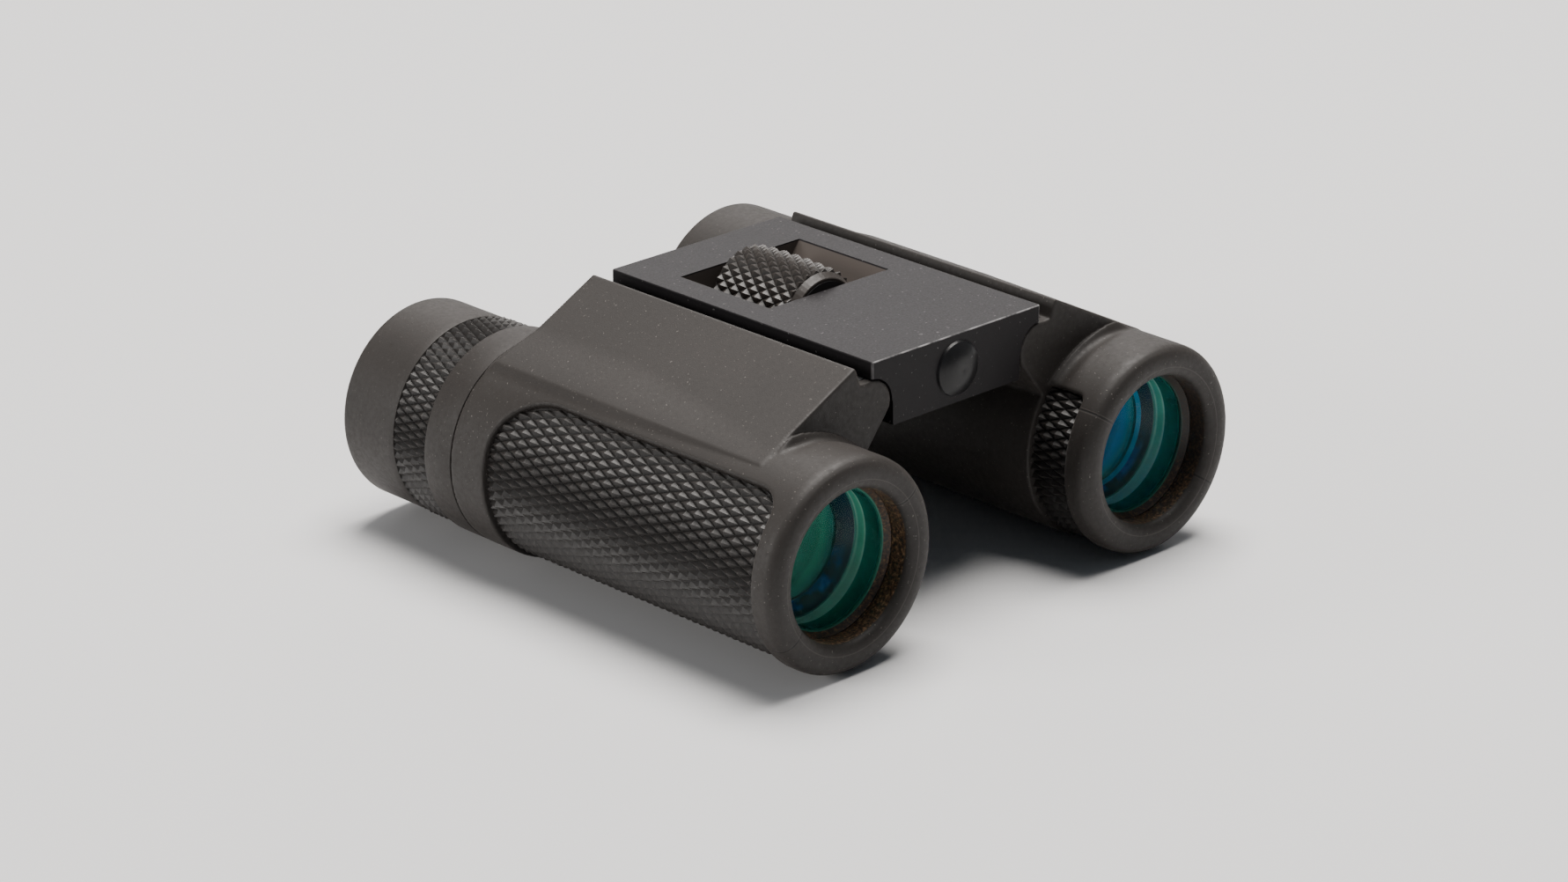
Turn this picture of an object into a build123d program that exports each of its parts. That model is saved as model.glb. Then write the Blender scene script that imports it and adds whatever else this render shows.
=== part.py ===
from build123d import *
import os
from math import sin, cos, radians, atan2, degrees, hypot

os.makedirs("parts", exist_ok=True)

# Compact roof-prism binoculars with a flat bridge and two hinge lines.
# Millimetres. +Z up, ground at Z = 0. Y runs along the optical axes with
# the objectives at -Y. "right" is the barrel at -X, "left" the one at +X.

# ---------------------------------------------------------------- dimensions
axis_x = 31.5            # optical axis, distance from the middle plane
axis_z = 16.1            # optical axis height with the barrels on the ground
body_r = 16.1            # outer radius of the rubber armour
half_len = 46.3          # overall half length

lip_r = 11.3             # bore of the front lip
lip_y0, lip_y1 = -45.2, -42.3
tube_ro, tube_ri = 14.3, 12.9    # housing tube
tube_y0, tube_y1 = -42.2, 20.7
neck_ro, neck_ri = 12.1, 10.5    # eyepiece neck behind the tube
neck_y1 = 35.5

pad_r0, pad_r1 = 14.75, 15.45    # grip inlay, inner and outer radius
pad_y0, pad_y1 = -42.0, 13.7
pad_a0, pad_a1 = 127.3, 280.0    # angle about the axis, 0 towards the bridge
strip_a1, strip_y1 = 402.5, -34.9   # front strip that carries the inlay round to the inner side

band_r, band_y0, band_y1 = 15.9, 21.0, 26.9
ring_r, ring_y0, ring_y1 = 15.6, 26.98, 34.22
cup_r, cup_y0, cup_y1 = 15.4, 34.3, half_len

hinge_x, hinge_z = 17.2, 33.2    # hinge lines
knuckle_r, lug_gap_r = 3.85, 4.05
pin_r, pin_gap = 1.5, 0.03
flange_y0, flange_y1 = -35.2, 19.4

br_y0, br_y1 = -35.2, 18.95      # bridge
br_top, br_bot = 39.8, 29.3
win_x, win_y0, win_y1 = 12.17, -9.34, 9.46
edge_round = 0.18                # broken edges of the bridge's top face
corner_round = 0.4               # upright corners of the bridge
slot_x = 8.4                     # clear half width of the wheel slot
wheel_r, wheel_z = 7.9, 34.5
wheel_y0, wheel_y1 = -8.3, 8.2
spindle_r = 1.5
travel = 2.0                     # focus travel each way

# hinge layout along Y
lug1 = (-30.2, -27.0)
lug2 = (-1.8, 6.0)
kn1 = (-33.6, -30.4)
kn2 = (-17.0, -2.0)
kn3 = (6.2, 18.8)

# ------------------------------------------------------------------- helpers
def on_y(y, sk):
    # sketch drawn in (X, Z) placed on the plane Y = y
    return Plane(origin=(0, y, 0), x_dir=(1, 0, 0), z_dir=(0, -1, 0)) * sk

def prism(sk, y0, y1):
    return extrude(on_y(y1, sk), amount=y1 - y0)

def cyl(r, y0, y1, x=0.0, z=0.0):
    return prism(Pos(x, z) * Circle(r), y0, y1)

def tube(ro, ri, y0, y1, x=0.0, z=0.0):
    return cyl(ro, y0, y1, x, z) - cyl(ri, y0 - 1, y1 + 1, x, z)

def turned(pts, x=0.0, z=0.0):
    # closed outline of (radius, y) points, turned about the Y line (x, z)
    face = make_face(Polyline(*[(p[0], p[1]) for p in pts], close=True))
    body = revolve(face, Axis((0, 0, 0), (0, 1, 0)), 360)
    return Pos(x, 0, z) * body

def box(x0, x1, y0, y1, z0, z1):
    return Pos((x0 + x1) / 2, (y0 + y1) / 2, (z0 + z1) / 2) * Box(x1 - x0, y1 - y0, z1 - z0)

def poly(pts):
    return make_face(Polyline(*pts, close=True))

def sector(r0, r1, a0, a1, y0, y1):
    # annular sector about the barrel axis in local coordinates
    n = max(2, int(abs(a1 - a0) / 30) + 1)
    rr = r1 * 1.6
    wedge = poly([(0, 0)] + [(rr * cos(radians(a0 + (a1 - a0) * i / n)),
                              rr * sin(radians(a0 + (a1 - a0) * i / n))) for i in range(n + 1)])
    ring = Circle(r1) - Circle(r0)
    return prism(ring & wedge, y0, y1)

BX = -axis_x
def loc(s):
    # local barrel coordinates (x towards the bridge, z up) to the row frame
    return Pos(BX, 0, axis_z) * s

hx, hz = axis_x - hinge_x, hinge_z - axis_z        # hinge in local coordinates
h_ang = degrees(atan2(hz, hx))

# ----------------------------------------------------------- barrel housing
def flange_section(inset=0.0):
    # web from the barrel up to the hinge, drawn in local coordinates
    k = inset
    return poly([(-7.36 + 1.2 * k, 14.32 - 1.6 * k), (10.85 - 0.35 * k, 23.6 - 1.1 * k), (11.2 - 0.6 * k, 23.5 - 1.2 * k),
                 (12.1 - k, 20.9), (hx - 0.6 * k, hz + 3.0 - k), (hx + 2.6 - k, hz), (17.33 - 1.2 * k, 14.73 + 0.3 * k),
                 (13.1 - k, 9.3 + 0.2 * k), (0, 0)])

def knuckle(y0, y1, r=knuckle_r):
    return cyl(r, y0, y1, hx, hz)

def knuckle_with_neck(y0, y1):
    # knuckle barrel and the wedge that carries it down to the tube
    neck = poly([(hx - 3.2, hz + 2.1), (hx + 3.03, hz - 2.37), (12.2, 8.4), (6, 10), (5.2, 20.0)])
    return knuckle(y0, y1) + prism(neck, y0, y1)

tube_body = tube(tube_ro, tube_ri, tube_y0, tube_y1)
rear_wall = tube(tube_ro, neck_ri, tube_y1 - 1.6, tube_y1)
neck = tube(neck_ro, neck_ri, tube_y1 - 1.6, neck_y1)
web = prism(flange_section(1.7), flange_y0 + 1.6, flange_y1 - 1.6) - cyl(tube_ri + 0.7, -60, 60)
housing = tube_body + rear_wall + neck + web
for y0, y1 in (kn1, kn2, kn3):
    housing = housing + (knuckle_with_neck(y0, y1) - cyl(tube_ri + 0.7, -60, 60))
clear_front = cyl(lug_gap_r, kn1[1], kn2[0], hx, hz)
clear_rear = cyl(lug_gap_r, kn2[1], kn3[0], hx, hz)
bore_front = cyl(pin_r + pin_gap, -32.9, kn1[1] + 0.1, hx, hz)
bore_rear = cyl(pin_r + pin_gap, kn2[0] - 0.1, kn3[1] + 1, hx, hz)
arm_slot = prism(Rot(0, 0, h_ang) * (Pos(14.5, 0) * Rectangle(11.4, 3.0)), -25.1, -17.1)
housing = housing - clear_front - clear_rear - bore_front - bore_rear - arm_slot

# --------------------------------------------------------------- the armour
bell = turned([(tube_ro, tube_y0), (tube_ro, tube_y1 + 0.2), (15.9, tube_y1 + 0.2), (body_r, 20.6),
               (body_r, -37.0), (body_r - 0.25, -38.5), (body_r, -40.2),
               (body_r, -44.2), (15.6, -45.4), (14.7, -46.1), (13.6, -half_len),
               (12.5, -46.15), (11.75, -45.8), (lip_r, lip_y0), (lip_r, lip_y1), (lip_r, -42.2)])
skin = prism(flange_section(0) , flange_y0, flange_y1)
knob = knuckle(flange_y0, kn1[0])
skin = skin + knob - cyl(tube_ro, tube_y0, 60)
armour = bell + skin
pocket = sector(pad_r0 - 0.05, 18.0, pad_a0, pad_a1, pad_y0 - 0.1, pad_y1 + 0.1)
pocket_front = sector(pad_r0 - 0.05, 18.0, pad_a1 - 3, strip_a1, pad_y0 - 0.1, strip_y1)
armour = armour - pocket - pocket_front - housing
# hinge clearances: everything near the hinge line behind the front plate
armour = armour - cyl(lug_gap_r, kn1[0], 60, hx, hz)
armour = armour - prism(Rot(0, 0, h_ang) * (Pos(14.5, 0) * Rectangle(11.4, 3.0)), -25.1, -17.1)
armour = armour - cyl(tube_ri + 0.01, tube_y0, 60)

grip = sector(pad_r0, pad_r1, pad_a0 + 0.35, pad_a1 - 0.35, pad_y0, pad_y1) \
    + sector(pad_r0, pad_r1, pad_a1 - 2, strip_a1 - 0.35, pad_y0, strip_y1 - 0.1)

# ------------------------------------------------------------------- optics
retainer = turned([(12.88, -42.2), (12.88, -40.82), (10.5, -40.82), (10.5, -41.2), (11.3, -42.2)])

def lens(r, y_front, y_rear, sag_front, sag_rear):
    # round lens; a positive sag bulges outwards, a negative one is hollow
    body = cyl(r, y_front - max(sag_front, 0), y_rear + max(sag_rear, 0))
    for y, sag, d in ((y_front, sag_front, -1), (y_rear, sag_rear, 1)):
        if sag == 0:
            continue
        R = (r * r + sag * sag) / (2 * abs(sag))
        ball = Pos(0, y + d * (sag - R if sag > 0 else sag + R), 0) * Sphere(R)
        body = body & ball if sag > 0 else body - ball
    return body

# air-spaced objective: the front lens in its seat, a sloping stop, the rear lens
obj_front = lens(10.4, -40.6, -38.1, 0.55, 0.3)
obj_rear = lens(9.0, -33.75, -31.1, 0.15, -0.3)
obj_cell = turned([(12.85, -40.7), (12.85, -27.2), (9.4, -27.2), (9.4, -31.0), (9.02, -31.0), (9.02, -33.9),
                 (8.5, -34.05), (10.42, -36.0), (10.42, -40.7)])

cell_y0, cell_y1 = -23.6, -18.6
cell = tube(12.84, 9.6, cell_y0, cell_y1) - cyl(10.3, cell_y0 - 1, cell_y1 - 1.0)
eye_y0, eye_y1 = -22.7, -19.5
hd = hypot(hx, hz)
arm = prism(Rot(0, 0, h_ang) * (Pos((11.5 + hd - 2.0) / 2, 0) * Rectangle(hd - 2.0 - 11.5, 2.4)), eye_y0, eye_y1)
eye = cyl(2.9, eye_y0, eye_y1, hx, hz)
cell = cell + arm + eye - cyl(1.66, -60, 60, hx, hz)
focus_lens = lens(10.28, -23.0, cell_y1 - 1.05, -0.6, 0.0)

# prism group: cage with a square well that holds both prisms
cage = cyl(12.85, -13.5, 13.5) - box(-9.1, 9.1, -11.9, 11.9, -9.6, 9.6) - cyl(8.2, -14, 14)
roof_prism = extrude(Plane.YZ * make_face(Polyline((-11.6, -8.6), (-1.0, -8.6), (-1.0, 8.4), (-4.2, 8.4), close=True)), amount=8.4, both=True)
second_prism = extrude(Plane.YZ * make_face(Polyline((-0.4, -8.6), (11.6, -8.6), (8.2, 2.0), (2.0, 8.6), (-0.4, 8.6), close=True)), amount=8.4, both=True)
field_stop = turned([(12.85, 14.2), (12.85, 16.4), (8.6, 16.4), (8.2, 14.2)])

# ---------------------------------------------------------------- eyepieces
band = turned([(tube_ro - 1.0, band_y0), (band_r - 0.25, band_y0), (band_r, band_y0 + 0.3), (band_r, band_y1 - 0.3),
               (band_r - 0.3, band_y1), (neck_ro + 0.01, band_y1), (neck_ro + 0.01, tube_y1 + 0.1), (tube_ro - 1.0, tube_y1 + 0.1)])
ring = turned([(neck_ro + 0.05, ring_y0), (ring_r - 0.35, ring_y0), (ring_r, ring_y0 + 0.4), (ring_r, ring_y1 - 0.4),
               (ring_r - 0.35, ring_y1), (13.3, ring_y1), (13.3, 39.0), (12.6, 39.0), (12.6, neck_y1 + 0.3), (neck_ro + 0.05, neck_y1 + 0.3)])
cup_profile = [(13.3, cup_y0), (cup_r - 0.3, cup_y0), (cup_r, cup_y0 + 0.3), (cup_r, 45.3), (15.2, 45.9), (14.7, half_len), (13.6, half_len),
               (12.95, 46.1), (12.6, 45.4), (12.45, 44.2), (12.45, 39.1), (13.3, 39.1)]
cup = turned(cup_profile)
eye_tube = turned([(8.7, 23.0), (neck_ri - 0.04, 23.0), (neck_ri - 0.04, 40.2), (9.0, 40.2), (8.3, 39.2), (8.3, 38.0), (8.7, 38.0)])
eye_lens = lens(8.65, 34.2, 37.9, 0.8, 0.0)
field_lens = lens(8.65, 24.2, 27.4, 0.0, 1.0)
lens_spacer = tube(8.66, 7.9, 28.5, 33.3)

# ------------------------------------------------------------------- bridge
sec = [(-hinge_x, br_top), (hinge_x, br_top), (hinge_x, 35.0), (13.0, 33.0), (12.9, br_bot), (-12.9, br_bot), (-13.0, 33.0), (-hinge_x, 35.0)]
block = prism(poly(sec), br_y0, br_y1)
block = block & (Pos(0, (br_y0 + br_y1) / 2, br_bot - 1) * extrude(RectangleRounded(2 * hinge_x, br_y1 - br_y0, corner_round), amount=br_top - br_bot + 2))
for s in (-1, 1):
    block = block - cyl(lug_gap_r, -60, 60, s * hinge_x, hinge_z)
    block = block - box(min(s * 15.9, s * 19), max(s * 15.9, s * 19), -60, 60, 28, 35.4)
    for y0, y1 in (lug1, lug2):
        block = block + cyl(knuckle_r, y0, y1, s * hinge_x, hinge_z) \
            + box(min(s * (hinge_x - 4.6), s * hinge_x), max(s * (hinge_x - 4.6), s * hinge_x), y0, y1, hinge_z - 1.0, hinge_z + 3.8)
# window with its two sloping ramps and the slot for the wheel
window = prism(poly([(-win_x, br_top + 1), (-win_x, br_top), (-slot_x, 34.6), (-slot_x, br_bot - 1),
                     (slot_x, br_bot - 1), (slot_x, 34.6), (win_x, br_top), (win_x, br_top + 1)]), win_y0, win_y1)
cavity = box(-9.0, 9.0, -28.6, -14.2, 30.6, 37.6)
lid_seat = box(-11.45, 11.45, -31.2, -11.8, br_bot - 1, 30.6)
arm_slots = box(-16.5, 16.5, -26.9, -20.5, 31.3, 35.8)
spindle_hole = cyl(1.9, -33.5, 16.0, 0, wheel_z)
bush_seats = cyl(3.0, -33.5, -30.9, 0, wheel_z) + cyl(3.0, -14.3, -11.2, 0, wheel_z) + cyl(3.0, win_y1 - 0.1, 12.6, 0, wheel_z)
cap_seats = cyl(2.9, br_y0 - 1, -33.4, 0, wheel_z) + cyl(2.9, 15.6, br_y1 + 1, 0, wheel_z)
bridge = block - window - cavity - lid_seat - arm_slots - spindle_hole - bush_seats - cap_seats
screw_xy = [(s * 10.0, y) for s in (-1, 1) for y in (-29.9, -13.1)]
for x, y in screw_xy:
    bridge = bridge - Pos(x, y, 32.3) * Cylinder(0.8, 5.0)
for s in (-1, 1):
    bridge = bridge - cyl(pin_r, -60, 60, s * hinge_x, hinge_z)
top_edges = bridge.faces().filter_by(Axis.Z).sort_by(Axis.Z)[-1].outer_wire().edges()
bridge = fillet(top_edges, edge_round)

lid = box(-11.4, 11.4, -31.15, -11.85, br_bot, 30.6)
screws = []
for x, y in screw_xy:
    lid = lid - Pos(x, y, 30) * Cylinder(0.85, 4) - Pos(x, y, br_bot + 0.35) * Cylinder(1.35, 0.7)
    sc = Pos(x, y, br_bot + 0.35) * Cylinder(1.3, 0.7) + Pos(x, y, br_bot + 2.6) * Cylinder(0.78, 4.2)
    sc = sc - Pos(x, y, br_bot + 0.2) * Box(1.7, 0.3, 0.4) - Pos(x, y, br_bot + 0.2) * Box(0.3, 1.7, 0.4)
    screws.append(sc)

def axle_cap(y_face, out):
    d = -1 if out < 0 else 1
    e = [Line((0, 0), (0, 1.3)), ThreePointArc((0, 1.3), (2.9, 1.0), (4.0, 0.35)), Line((4.0, 0.35), (4.2, 0.0)),
         Line((4.2, 0), (2.85, 0)), Line((2.85, 0), (2.85, -1.6)), Line((2.85, -1.6), (0, -1.6)), Line((0, -1.6), (0, 0))]
    b = revolve(make_face(e), Axis((0, 0, 0), (0, 1, 0)), 360)
    if d < 0:
        b = Rot(180, 0, 0) * b
    return Pos(0, y_face, wheel_z) * b

front_cap = axle_cap(br_y0, -1)
rear_cap = axle_cap(br_y1, 1)
bush_front = tube(3.0, spindle_r + 0.03, -33.4, -30.95, 0, wheel_z)
bush_mid = tube(3.0, spindle_r + 0.03, -14.2, -11.25, 0, wheel_z)
bush_rear = tube(3.0, spindle_r + 0.03, win_y1 + 0.02, 12.55, 0, wheel_z)
bushes = [bush_front, bush_mid, bush_rear]

# --------------------------------------------------------------- focus drive
spindle = cyl(spindle_r, -33.2, 13.6, 0, wheel_z) - (cyl(2.0, -29.5, -15.0, 0, wheel_z) - cyl(1.4, -29.5, -15.0, 0, wheel_z)) \
    - (cyl(2.0, 12.9, 13.3, 0, wheel_z) - cyl(1.15, 12.9, 13.3, 0, wheel_z))
for i in range(14):
    y = -29.2 + i
    spindle = spindle + turned([(1.3, y - 0.3), (1.5, y), (1.3, y + 0.3)], 0, wheel_z)
clip = (tube(1.85, 1.16, 12.92, 13.28, 0, wheel_z)) - box(-0.7, 0.7, 12.5, 13.6, wheel_z - 3, wheel_z)
wheel_core = turned([(spindle_r + 0.001, wheel_y0), (6.0, wheel_y0), (6.0, wheel_y0 + 0.6), (6.6, wheel_y0 + 0.6), (6.6, wheel_y1 - 0.6), (6.0, wheel_y1 - 0.6),
                     (6.0, wheel_y1), (spindle_r + 0.001, wheel_y1)], 0, wheel_z)
wheel_grip = turned([(6.6, wheel_y0 + 0.1), (7.3, wheel_y0 + 0.1), (7.75, wheel_y0 + 1.9), (wheel_r, 0.0), (7.8, wheel_y1 - 0.9), (7.5, wheel_y1 - 0.1),
                     (6.6, wheel_y1 - 0.1)], 0, wheel_z)

arm_y0, arm_y1 = -24.6, -22.85
nut = box(-4.2, 4.2, -24.6, -18.4, 31.4, 37.2) - cyl(spindle_r + 0.04, -60, 60, 0, wheel_z)
plate = box(-hinge_x, hinge_x, arm_y0, arm_y1, hinge_z - 0.8, hinge_z + 2.0) - cyl(spindle_r + 0.04, -60, 60, 0, wheel_z)
for s in (-1, 1):
    plate = plate + cyl(2.3, arm_y0, arm_y1, s * hinge_x, hinge_z) + cyl(1.6, arm_y1 - 0.5, -19.3, s * hinge_x, hinge_z)
carriage = nut + plate

# ---------------------------------------------------------------- hinge pins
def pins(s):
    return cyl(pin_r, -32.7, lug1[1], s * hinge_x, hinge_z), cyl(pin_r, -16.2, kn3[1] - 0.2, s * hinge_x, hinge_z)

# ------------------------------------------------------------------- export
out = {
    "bridge_body": bridge, "bridge_bottom_cover": lid, "cover_screws": Compound(children=[Part() + s for s in screws]),
    "front_axle_cap": front_cap, "rear_axle_cap": rear_cap, "spindle_bushes": Compound(children=[Part() + s for s in bushes]),
    "focus_spindle": spindle, "spindle_clip": clip, "focus_wheel_core": wheel_core, "focus_wheel_grip": wheel_grip,
    "focus_carriage": carriage,
}
side = {
    "barrel_housing": housing, "barrel_armour": armour, "grip_pad": grip, "objective_retaining_ring": retainer,
    "objective_front_lens": obj_front, "objective_rear_lens": obj_rear, "objective_cell": obj_cell, "focus_lens_cell": cell,
    "focus_lens": focus_lens, "prism_cage": cage, "roof_prism": roof_prism, "second_prism": second_prism,
    "field_stop": field_stop, "eyepiece_base_band": band, "eyepiece_tube": eye_tube, "field_lens": field_lens,
    "eye_lens": eye_lens, "eyepiece_spacer": lens_spacer, "eyecup": cup,
}
pf, prr = pins(-1)
out["right_front_hinge_pin"], out["right_rear_hinge_pin"] = pf, prr
out["left_front_hinge_pin"], out["left_rear_hinge_pin"] = pins(1)
for name, s in side.items():
    r = loc(s)
    out["right_" + name] = r
    out["left_" + name] = mirror(r, about=Plane.YZ)
out["right_diopter_ring"] = loc(ring)
out["left_eyepiece_ring"] = mirror(loc(ring), about=Plane.YZ)

for name, s in out.items():
    export_step(s, "parts/" + name + ".step")
print(len(out), "nodes")
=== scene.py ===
import math
import bpy
import bmesh
import numpy as np
from mathutils import Matrix, Vector


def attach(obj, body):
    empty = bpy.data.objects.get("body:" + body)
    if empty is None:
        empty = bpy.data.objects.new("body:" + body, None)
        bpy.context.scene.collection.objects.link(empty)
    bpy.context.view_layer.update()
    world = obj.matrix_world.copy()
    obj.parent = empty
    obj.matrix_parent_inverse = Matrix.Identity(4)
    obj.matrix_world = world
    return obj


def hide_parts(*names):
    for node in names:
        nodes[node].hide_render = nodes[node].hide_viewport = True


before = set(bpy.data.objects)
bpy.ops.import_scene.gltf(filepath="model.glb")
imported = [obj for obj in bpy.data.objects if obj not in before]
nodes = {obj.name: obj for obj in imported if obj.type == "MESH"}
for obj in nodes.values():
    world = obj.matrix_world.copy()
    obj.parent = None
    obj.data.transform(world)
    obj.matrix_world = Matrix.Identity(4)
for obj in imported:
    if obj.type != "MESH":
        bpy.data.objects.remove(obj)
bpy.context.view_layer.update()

import openvdb as vdb

MM = 0.001
scene = bpy.context.scene

# ------------------------------------------------------------------ camera
A, EL, ROLL = math.radians(-44.194), math.radians(21.604), math.radians(0.118)
back = Vector((math.sin(A) * math.cos(EL), -math.cos(A) * math.cos(EL), math.sin(EL)))
right0 = Vector((math.cos(A), math.sin(A), 0.0))
up0 = back.cross(right0)
right = math.cos(ROLL) * right0 + math.sin(ROLL) * up0
up = -math.sin(ROLL) * right0 + math.cos(ROLL) * up0
target = Vector((0.0, -0.001128, 0.0161))
eye = target + back * 0.74935 + right * (-0.0009165) + up * (-0.002329)
cam_data = bpy.data.cameras.new("camera")
cam_data.sensor_width = 36.0
cam_data.sensor_fit = "HORIZONTAL"
cam_data.lens = 36.0 * 5736.063 / 1781.0
cam_data.clip_start = 0.01
cam_data.clip_end = 20.0
cam = bpy.data.objects.new("camera", cam_data)
m = Matrix.Identity(4)
for i in range(3):
    m[i][0], m[i][1], m[i][2], m[i][3] = right[i], up[i], back[i], eye[i]
cam.matrix_world = m
scene.collection.objects.link(cam)
scene.camera = cam

# --------------------------------------------------------------- dimensions
AX, AZ = 31.5, 16.1            # optical axis of a barrel
HX, HZ = 14.3, 17.1            # hinge line seen from the barrel axis
BODY_R = 16.1
PAD_A0, PAD_A1, PAD_A2 = 127.3, 280.0, 402.5   # grip field, then the front strip
PAD_Y0, PAD_Y1, STRIP_Y1 = -42.0, 13.7, -34.9
FL_Y0, FL_Y1 = -35.2, 19.4

# ------------------------------------------------------------- node helpers
def new_material(name):
    mat = bpy.data.materials.new(name)
    mat.use_nodes = True
    nt = mat.node_tree
    nt.nodes.clear()
    out = nt.nodes.new("ShaderNodeOutputMaterial")
    bsdf = nt.nodes.new("ShaderNodeBsdfPrincipled")
    nt.links.new(bsdf.outputs["BSDF"], out.inputs["Surface"])
    return mat, nt, bsdf


def coords(nt):
    n = nt.nodes.new("ShaderNodeTexCoord")
    return n.outputs["Object"]


def noise(nt, vec, scale, detail=3.0, rough=0.5, w=0.0):
    n = nt.nodes.new("ShaderNodeTexNoise")
    n.noise_dimensions = "3D"
    n.inputs["Scale"].default_value = scale
    n.inputs["Detail"].default_value = detail
    n.inputs["Roughness"].default_value = rough
    if w:
        mp = nt.nodes.new("ShaderNodeMapping")
        mp.inputs["Location"].default_value = (w, w * 0.7, -w)
        nt.links.new(vec, mp.inputs["Vector"])
        vec = mp.outputs["Vector"]
    nt.links.new(vec, n.inputs["Vector"])
    return n.outputs["Fac"]


def ramp(nt, fac, stops):
    n = nt.nodes.new("ShaderNodeValToRGB")
    els = n.color_ramp.elements
    while len(els) < len(stops):
        els.new(0.5)
    for e, (p, c) in zip(els, stops):
        e.position = p
        e.color = tuple(c) + ((1.0,) if len(c) == 3 else ())
    nt.links.new(fac, n.inputs["Fac"])
    return n.outputs["Color"]


def mix(nt, fac, a, b, kind="MIX"):
    n = nt.nodes.new("ShaderNodeMix")
    n.data_type = "RGBA"
    n.blend_type = kind
    for val, sock in ((fac, n.inputs[0]), (a, n.inputs[6]), (b, n.inputs[7])):
        if isinstance(val, (int, float)):
            sock.default_value = val
        elif isinstance(val, (tuple, list)):
            sock.default_value = tuple(val) + ((1.0,) if len(val) == 3 else ())
        else:
            nt.links.new(val, sock)
    return n.outputs[2]


def mathn(nt, op, a, b=None, c=None, clamp=False):
    n = nt.nodes.new("ShaderNodeMath")
    n.operation = op
    n.use_clamp = clamp
    for i, v in enumerate((a, b, c)):
        if v is None:
            continue
        if isinstance(v, (int, float)):
            n.inputs[i].default_value = v
        else:
            nt.links.new(v, n.inputs[i])
    return n.outputs[0]


def maprange(nt, v, a, b, c, d):
    n = nt.nodes.new("ShaderNodeMapRange")
    n.clamp = True
    nt.links.new(v, n.inputs["Value"])
    for k, x in zip(("From Min", "From Max", "To Min", "To Max"), (a, b, c, d)):
        n.inputs[k].default_value = x
    return n.outputs["Result"]


def bump(nt, bsdf, height, strength, dist):
    n = nt.nodes.new("ShaderNodeBump")
    n.inputs["Strength"].default_value = strength
    n.inputs["Distance"].default_value = dist
    nt.links.new(height, n.inputs["Height"])
    nt.links.new(n.outputs["Normal"], bsdf.inputs["Normal"])
    return n


def attribute(nt, name):
    n = nt.nodes.new("ShaderNodeAttribute")
    n.attribute_name = name
    return n.outputs["Fac"]

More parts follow.
